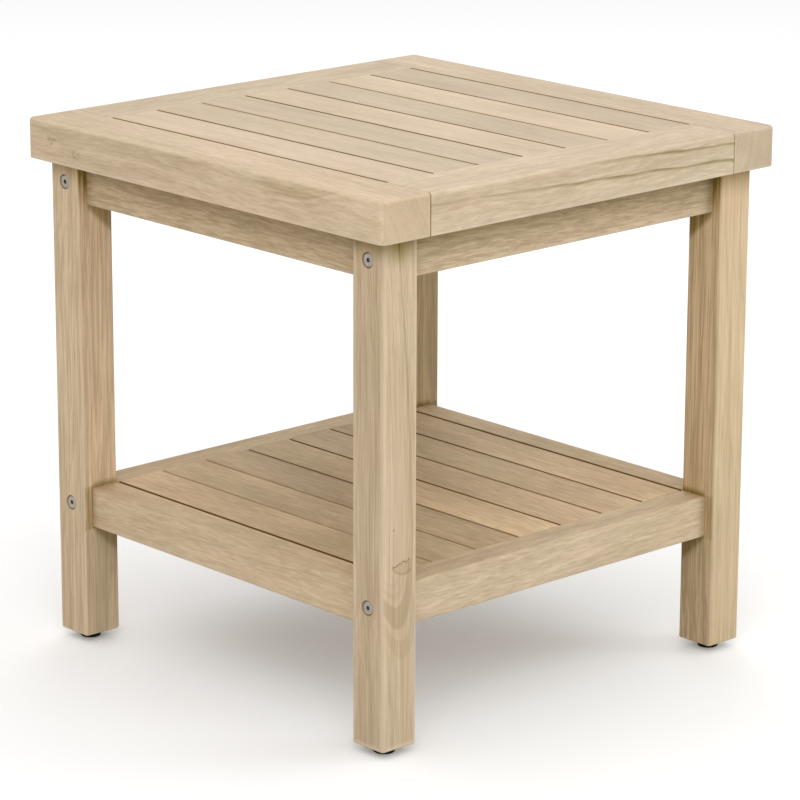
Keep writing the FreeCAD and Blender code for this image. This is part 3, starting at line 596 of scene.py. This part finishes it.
def draw_chip(graph, place, y, z):
    """A small chip in a leg: a jagged tear, and below it a round hollow with a darker rim."""
    jagged = graph.ripple(place, (330, 330, 30), detail=2)
    tear = graph.math("MULTIPLY_ADD", graph.math("SUBTRACT", y, TEAR_START[0]), TEAR_SLOPE, TEAR_START[1])
    below_tear = graph.math("SUBTRACT", graph.math("MULTIPLY_ADD", jagged, 9 * MM, tear), z)
    tear_gap = graph.product(graph.near(below_tear, 0.0, 1.2 * MM), graph.between(y, *TEAR_Y, 2 * MM))
    tear_gap = graph.product(tear_gap, TEAR_DARKNESS)
    from_middle = graph.math("SUBTRACT", y, HOLLOW_BOTTOM[0])
    above_rim = graph.math("SUBTRACT", curved_height(graph, from_middle, RIM_CURVE, z), HOLLOW_BOTTOM[1])
    hollow = graph.product(
        graph.fade(above_rim, 0, 1.2 * MM),
        graph.fade(above_rim, 1.2 * MM, 4.0 * MM, 0.36, 0.14),
        graph.fade(below_tear, 0, 1.0 * MM),
        graph.between(y, *HOLLOW_Y, 1.5 * MM),
    )
    return graph.math("MAXIMUM", tear_gap, hollow)


def draw_arches(graph, wobble, y, z):
    """Growth rings of a leg that are cut at a slant: each is a band with soft sides."""
    axis = graph.math("MULTIPLY_ADD", graph.math("SUBTRACT", z, ARCH_AXIS[1]), ARCH_LEAN, ARCH_AXIS[0])
    arch = curved_height(graph, graph.math("SUBTRACT", y, axis), ARCH_CURVE, z)
    arch = graph.math("MULTIPLY_ADD", wobble, 4 * MM, arch)
    bands = [graph.product(graph.between(arch, *ends, 4 * MM), strength) for *ends, strength in ARCHES]
    return graph.total(*bands)


def mark_front_leg(graph, place):
    """A front face with painted shade, and a right face with a small chip, arches below it, a spot, and a
    flame on top.
    """
    x, y, z = graph.split(place)
    wobble = graph.ripple(place, (90, 90, 60), detail=3)
    from_spot = [graph.math("SUBTRACT", value, middle) for value, middle in zip((y, z), SPOT_PLACE)]
    distance = graph.vector("LENGTH", graph.join(0.0, *from_spot))
    spot = graph.fade(distance, *SPOT_REACH, SPOT_DARKNESS, 0)
    flame = curved_height(graph, graph.math("SUBTRACT", y, FLAME_Y), FLAME_CURVE, z)
    flame = graph.fade(graph.math("MULTIPLY_ADD", wobble, 16 * MM, flame), *FLAME_Z, 0, FLAME_DARKNESS)
    marks = graph.total(draw_chip(graph, place, y, z), spot, draw_arches(graph, wobble, y, z), flame)
    front_shade = graph.product(graph.fade(z, *FRONT_SHADE_Z, *FRONT_SHADE), on_face(graph, y, leg_low[1]))
    return graph.math("MAXIMUM", graph.product(marks, on_face(graph, x, leg_high[0])), front_shade)


def mark_back_leg(graph, place):
    """Front face of the back right leg, with thin dark streaks and a dark line at its outer edge."""
    x, y, _ = graph.split(place)
    streaks = graph.fade(graph.noise(place, (420, 420, 6), detail=2), 0.35, 0.65, *BACK_STREAKS_DARKNESS)
    edge = graph.product(graph.near(x, leg_high[0] - 2 * MM, 2 * MM), BACK_EDGE_DARKNESS)
    return graph.product(graph.math("MAXIMUM", streaks, edge), on_face(graph, y, leg_low[0]))


# The growth lines: the height of each where y is 0, how it changes with y, and where along y it darkens,
# from the first darkness to the second
GROWTH_LINES = ((0.5010, -0.0375, (-0.20, 0.02)), (0.5178, -0.0475, (-0.02, 0.12)))
GROWTH_LINE_DARKNESS = (0.18, 0.57)


def mark_growth_lines(graph, place):
    """Two dark growth lines on the outer face of the right end rail of the top."""
    x, y, z = graph.split(place)
    wobble = graph.ripple(place, (60, 14, 60), detail=3)
    height = graph.math("MULTIPLY_ADD", wobble, 7 * MM, z)
    strength = graph.noise(place, (30, 30, 300), detail=2)
    lines = []
    for middle_height, fall, swell in GROWTH_LINES:
        line = graph.math("MULTIPLY_ADD", y, fall, middle_height)
        below = graph.math("SUBTRACT", line, height)
        upper_edge = graph.fade(below, -1.0 * MM, 0.4 * MM)
        lower_edge = graph.fade(below, 0.6 * MM, 3.6 * MM, 1, 0)
        lines.append(graph.product(upper_edge, lower_edge, graph.fade(y, *swell, *GROWTH_LINE_DARKNESS)))
    streaks = graph.product(graph.math("MAXIMUM", *lines), graph.fade(strength, 0.2, 0.6, 0.6, 1.15))
    return graph.product(streaks, on_face(graph, x, rail_high[0]))


def mark_end_seams(graph, place):
    """Dark seams where an end rail of the top meets the long boards. They are darkest on its outer face."""
    x, y, _ = graph.split(place)
    sideways = graph.math("ABSOLUTE", x)
    outer = graph.fade(sideways, rail_high[0] - 4 * MM, rail_high[0] - 2 * MM, INNER_SEAM_SHARE, 1)
    front_seam = graph.near(y, top_high[1], 1.5 * MM)
    back_seam = graph.product(graph.near(y, -top_high[1], 1.3 * MM), BACK_SEAM_SHARE)
    return graph.product(graph.math("MAXIMUM", front_seam, back_seam), outer)


# Where the marks on the front face of the front board are, along x and z. The arch rises over a stretch
# of x, and fades out beside another. Each of its lines lies some millimetres above its middle, and has a
# reach in millimetres and a strength.
BAND_X = (-0.190, -0.03)
BAND_Z = (0.505, 0.513)
BAND_DARKNESS = 0.11
BOARD_ARCH_X = (0.140, 0.205)
BOARD_ARCH_Z = (0.5035, 0.5185)
BOARD_ARCH_CLEAR_X = (0.105, 0.185)
BOARD_ARCH_LINES = ((0.0, 2.6, 0.30), (4.0, 2.2, 0.18), (7.5, 2.2, 0.14), (-6.5, 3.0, 0.10))
BOARD_EYES = ((-0.2136, 0.5011), (-0.1771, 0.4924))
# How dark the painted shade on the upper face of the front board is
UPPER_FACE_SHADE_DARKNESS = 0.08


def draw_board_arch(graph, x, height):
    """A soft arch of a few lines, a little darker above than below."""
    above = graph.math("SUBTRACT", height, graph.fade(x, *BOARD_ARCH_X, *BOARD_ARCH_Z))
    lines = []
    for offset, reach, strength in BOARD_ARCH_LINES:
        lines.append(graph.product(graph.near(above, offset * MM, reach * MM), strength))
    filling = graph.product(graph.fade(above, 0, 2 * MM), 0.10)
    return graph.product(graph.total(filling, *lines), graph.between(x, *BOARD_ARCH_CLEAR_X, 35 * MM))


def draw_board_eyes(graph, place, x, height):
    """Small broken rings, like the eyes of pin knots."""
    swirl = graph.ripple(place, (130, 60, 200), detail=3)
    broken = graph.fade(graph.noise(place, (260, 60, 260), detail=2), 0.38, 0.58, 0, 0.38)
    eyes = []
    for eye_x, eye_z in BOARD_EYES:
        sideways = graph.math("MULTIPLY", graph.math("SUBTRACT", x, eye_x), 0.7)
        radius = graph.vector("LENGTH", graph.join(sideways, 0.0, graph.math("SUBTRACT", height, eye_z)))
        swirled = graph.math("MULTIPLY_ADD", swirl, 8 * MM, radius)
        eyes.append(graph.product(graph.near(swirled, 3.0 * MM, 2.6 * MM), broken))
    return graph.total(*eyes)


def mark_front_board(graph, place):
    """An upper face darkened by painted shade, and a front face with a dark band, a soft arch and two eyes.
    """
    x, y, z = graph.split(place)
    height = graph.math("MULTIPLY_ADD", graph.ripple(place, (18, 60, 60), detail=3), 5 * MM, z)
    band_length = graph.between(x, *BAND_X, 60 * MM)
    band = graph.product(graph.between(height, *BAND_Z, 5 * MM), band_length, BAND_DARKNESS)
    marks = graph.total(band, draw_board_arch(graph, x, height), draw_board_eyes(graph, place, x, height))
    upper_face_shade = graph.fade(z, top_high[2] - 3 * MM, top_high[2] - 0.5 * MM, 0, UPPER_FACE_SHADE_DARKNESS)
    return graph.math("MAXIMUM", graph.product(marks, on_face(graph, y, top_low[1])), upper_face_shade)


def mark_shelf_rail_top_shade(graph, place):
    """Mottled painted shade on the upper face of a rail of the shelf."""
    height = graph.split(place)[2]
    mottle = graph.fade(graph.noise(place, (30, 30, 30), detail=3), 0.3, 0.7, *RAIL_TOP_SHADE_DARKNESS)
    return graph.product(graph.fade(height, shelf_high[2] - 2 * MM, shelf_high[2] - 0.5 * MM), mottle)


# The painted shade of the shelf is darkest round a place on its middle line, and fades out between two
# distances
SHELF_SHADE_X = -0.03
SHELF_SHADE_REACH = (0.02, 0.16)
SHELF_SHADE = 0.22


def mark_shelf_middle_shade(graph, place):
    """Painted shade on the middle of the shelf, which makes it a little darker than its sides."""
    x, y, _ = graph.split(place)
    distance = graph.vector("LENGTH", graph.join(graph.math("SUBTRACT", x, SHELF_SHADE_X), y, 0.0))
    return graph.fade(distance, *SHELF_SHADE_REACH, SHELF_SHADE, 0)


# ---------------------------------------------------------------------------------------------------
# Which wood each piece has
# ---------------------------------------------------------------------------------------------------
# Dark grooves beside the slats, from the front to the back: one before each slat, and one behind the last
TOP_GROOVES = (1.0, 0.9, 0.6, 1.0, 0.8, 0.6, 0.8, 0.8)
SHELF_GROOVES = (1.0, 0.0, 0.1, 0.7, 0.9, 0.6, 0.9, 1.0)
TOP_SLAT_LEVELS = (1.060, 0.970, 0.945, 1.035, 0.925, 1.085, 0.935)
SHELF_SLAT_LEVELS = (0.885, 0.820, 0.780, 0.965, 0.845, 0.820, 0.890)
# The rises of the shelf's slats paint light and shade along them
SHELF_SLAT_LIGHT_RISES = (-0.14, -0.04, 0.06, 0.20, 0.18, 0.20, 0.24)

LEG_MARKS = (mark_shade_under_top, mark_side_shade, mark_bolt_rim_shade, mark_inner_corners)
SHELF_RAIL_MARKS = (mark_rail_ends, mark_shelf_rail_top_shade)

# Looks of single pieces, beyond those of their kind. Warmth takes blue away, and the rise is how much
# lighter the far end is than the middle. On some pieces the rise paints light and shade.
SINGLE_LOOKS = {
    "top_front_board": {"level": 1.075, "warmth": 0.04, "rise": 0.03, "marks": (mark_front_board,)},
    "top_left_end_rail": {"level": 0.95},
    "top_right_end_rail": {"level": 1.035, "rise": -0.03, "marks": (mark_end_seams, mark_growth_lines)},
    "front_apron": {"warmth": 0.14, "rise": -0.04},
    "right_apron": {"rise": -0.03},
    "leg_front_left": {"level": 1.06, "warmth": 0.10, "rise": 0.04, "grain": 2.0},
    "leg_front_right": {
        "level": 1.01,
        "grain": 1.6,
        "side_grain": 0.7,
        "warmth": 0.06,
        "rise": 0.03,
        "wear": 0.6,
        "wear_reach": 6 * MM,
        "marks": (*LEG_MARKS, mark_front_leg),
    },
    # The back left leg stands in the table's shade, and its low level paints that shade.
    "leg_back_left": {"level": 0.60, "warmth": 0.30, "grain": 3.0},
    "leg_back_right": {
        "level": 1.075,
        "grain": 2.8,
        "side_grain": 0.35,
        "warmth": 0.15,
        "rise": 0.08,
        "wear": 0.0,
        "marks": (*LEG_MARKS, mark_back_leg),
    },
    "shelf_slat_5": {"marks": ()},
    "shelf_right_rail": {"rise": 0.04},
    "shelf_left_rail": {"level": 0.93, "warmth": 0.13},
    "shelf_back_rail": {"level": 0.93, "warmth": 0.13},
}


def list_boards():
    """The wood of every wooden piece of the CAD model, by the piece's name."""
    apron = {"level": 0.93, "warmth": 0.10, "grain": 2.3, "wear": 0.4, "marks": (mark_apron_shade,)}
    leg = {"axis": "Z", "grain": 1.9, "clouds": 0.5, "fibre_length": 4.5, "marks": LEG_MARKS}
    # The wide dark grooves of the shelf's rails also paint the shade on their rounded edges beside the slats
    shelf_rail = {"grain": 1.3, "wear": 0.1, "groove_reach": 2.0 * MM}
    boards = {}
    for depth, inner in (("front", "high_groove"), ("back", "low_groove")):
        boards[f"top_{depth}_board"] = {"axis": "X", "grain": 1.1, inner: 0.8}
        boards[f"{depth}_apron"] = {"axis": "X", **apron}
        look = {"level": 1.06, "warmth": 0.09, inner: 1.0, "marks": SHELF_RAIL_MARKS}
        boards[f"shelf_{depth}_rail"] = {"axis": "X", **look, **shelf_rail}
        for side in ("left", "right"):
            boards[f"leg_{depth}_{side}"] = leg
    for side in ("left", "right"):
        boards[f"top_{side}_end_rail"] = {"axis": "Y", "grain": 1.2, "marks": (mark_end_seams,)}
        boards[f"{side}_apron"] = {"axis": "Y", **apron}
        look = {"level": 1.03, "warmth": 0.04, "marks": SHELF_RAIL_MARKS}
        boards[f"shelf_{side}_rail"] = {"axis": "Y", **look, **shelf_rail}
    for place, level in enumerate(TOP_SLAT_LEVELS):
        grooves = {"low_groove": TOP_GROOVES[place], "high_groove": TOP_GROOVES[place + 1]}
        tone = {"level": level, "grain": 0.6, "wear": 0.1}
        boards[f"top_slat_{place + 1}"] = {"axis": "X", **tone, **grooves}
    for place, (level, rise) in enumerate(zip(SHELF_SLAT_LEVELS, SHELF_SLAT_LIGHT_RISES)):
        grooves = {"low_groove": SHELF_GROOVES[place], "high_groove": SHELF_GROOVES[place + 1]}
        tone = {"level": level, "warmth": 0.21, "rise": rise, "grain": 1.5, "clouds": 1.8, "wear": 0.1}
        boards[f"shelf_slat_{place + 1}"] = {"axis": "X", "marks": (mark_shelf_middle_shade,), **tone, **grooves}
    looks = {name: board | SINGLE_LOOKS.get(name, {}) for name, board in boards.items()}
    return {name: random_board(seed, **look) for seed, (name, look) in enumerate(looks.items(), start=1)}


# Axes of the frame that lie along, across and up a board, for each direction of its grain
BOARD_AXES = {"X": (0, 1, 2), "Y": (1, 0, 2), "Z": (2, 0, 1)}


def shade_of(color, shares):
    return (*(channel * share for channel, share in zip(color, shares)), 1)


def make_wood(name, board, seed, wood_group):
    """The material of one piece, fitted to its box."""
    low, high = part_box(name)
    material, graph = new_material(f"{name}_wood")
    axes = BOARD_AXES[board.axis]
    half = (high - low) / 2
    place = graph.add("TexCoord").outputs["Object"]
    centred = graph.split(graph.vector("SUBTRACT", place, tuple((low + high) / 2)))
    marks = [mark(graph, place) for mark in board.marks]
    tone = [board.level * channel * (1 - board.warmth * share) for channel, share in zip(BASE_WOOD, WARMTH)]
    settings = {
        "Point": graph.join(*(centred[axis] for axis in axes)),
        "Half Size": [half[axis] for axis in axes],
        "Pale": shade_of(tone, PALE_GRAIN),
        "Dark": shade_of(tone, DARK_GRAIN),
        "Rubbed And Highlit": shade_of(tone, RUBBED_AND_HIGHLIT_EDGE),
        "Seed": seed,
        "Pith": board.pith,
        "Mark": graph.total(*marks) if marks else 0.0,
        **{input_name(field): getattr(board, field) for field in BOARD_FIELDS},
    }
    wood = graph.tree.nodes.new("ShaderNodeGroup")
    wood.node_tree = wood_group
    for key, value in settings.items():
        graph.put(wood.inputs[key], value)
    inputs = {
        "Base Color": wood.outputs["Color"],
        "Roughness": wood.outputs["Roughness"],
        "Specular IOR Level": wood.outputs["Shine"],
    }
    add_surface(graph, inputs, wood.outputs["Height"], strength=0.5, distance=0.25 * MM)
    return material


def dress_boards():
    """Gives each wooden piece of the CAD model its own board of wood."""
    wood_group = make_wood_group()
    for seed, (name, board) in enumerate(list_boards().items(), start=1):
        node = frame["nodes"][name]
        node.data.materials.clear()
        node.data.materials.append(make_wood(name, board, seed, wood_group))


# ---------------------------------------------------------------------------------------------------
# Metal, dowels and glides
# ---------------------------------------------------------------------------------------------------
# The darker and the paler colour of each of these materials
STEEL_COLORS = ((0.31, 0.28, 0.24, 1), (0.47, 0.43, 0.375, 1))
DOWEL_COLORS = ((0.66, 0.46, 0.28, 1), (0.76, 0.58, 0.38, 1))
PLASTIC_COLORS = ((0.003, 0.003, 0.003, 1), (0.012, 0.011, 0.010, 1))


def make_steel():
    material, graph = new_material("zinc_steel")
    place = graph.add("TexCoord").outputs["Object"]
    mottle = graph.noise(place, (900, 900, 900), detail=3)
    scratches = graph.noise(place, (5000, 5000, 400), detail=2)
    color = graph.blend(graph.fade(mottle, 0.3, 0.7), *STEEL_COLORS)
    roughness = graph.math("MULTIPLY_ADD", mottle, 0.22, 0.30)
    inputs = {"Base Color": color, "Metallic": 1.0, "Roughness": roughness}
    add_surface(graph, inputs, scratches, strength=0.3, distance=0.05 * MM)
    return material


def make_dowel_wood():
    material, graph = new_material("beech_dowel")
    place = graph.add("TexCoord").outputs["Object"]
    flecks = graph.noise(place, (1800, 140, 1800), detail=2)
    color = graph.blend(graph.fade(flecks, 0.35, 0.65), *DOWEL_COLORS)
    add_surface(graph, {"Base Color": color, "Roughness": 0.7}, flecks, strength=0.4, distance=0.1 * MM)
    return material


def make_glide_plastic():
    material, graph = new_material("black_plastic")
    place = graph.add("TexCoord").outputs["Object"]
    stipple = graph.noise(place, (2600, 2600, 2600), detail=2)
    dust = graph.noise(place, (120, 120, 260), detail=3)
    color = graph.blend(graph.fade(dust, 0.4, 0.8), *PLASTIC_COLORS)
    roughness = graph.math("MULTIPLY_ADD", dust, 0.25, 0.45)
    inputs = {"Base Color": color, "Roughness": roughness, "Specular IOR Level": 0.15}
    add_surface(graph, inputs, stipple, strength=0.35, distance=0.08 * MM)
    return material


SMALL_PARTS = [
    (make_steel, "steel"),
    (make_dowel_wood, "dowel_wood"),
    (make_glide_plastic, "black_plastic"),
]


def dress_small_parts():
    """Gives the pieces of each other material slot of the record their own finish."""
    slot_of = {entry["node"]: entry["material_slot"] for entry in frame["record"]["subparts"]}
    for make_material, slot in SMALL_PARTS:
        material = make_material()
        for name, node in frame["nodes"].items():
            if slot_of[name] == slot:
                node.data.materials.clear()
                node.data.materials.append(material)


# ---------------------------------------------------------------------------------------------------
# The scene
# ---------------------------------------------------------------------------------------------------
bpy.context.scene.view_settings.view_transform = "Standard"
make_camera()
make_world()
make_soft_lights()
make_floor()
dress_boards()
dress_small_parts()
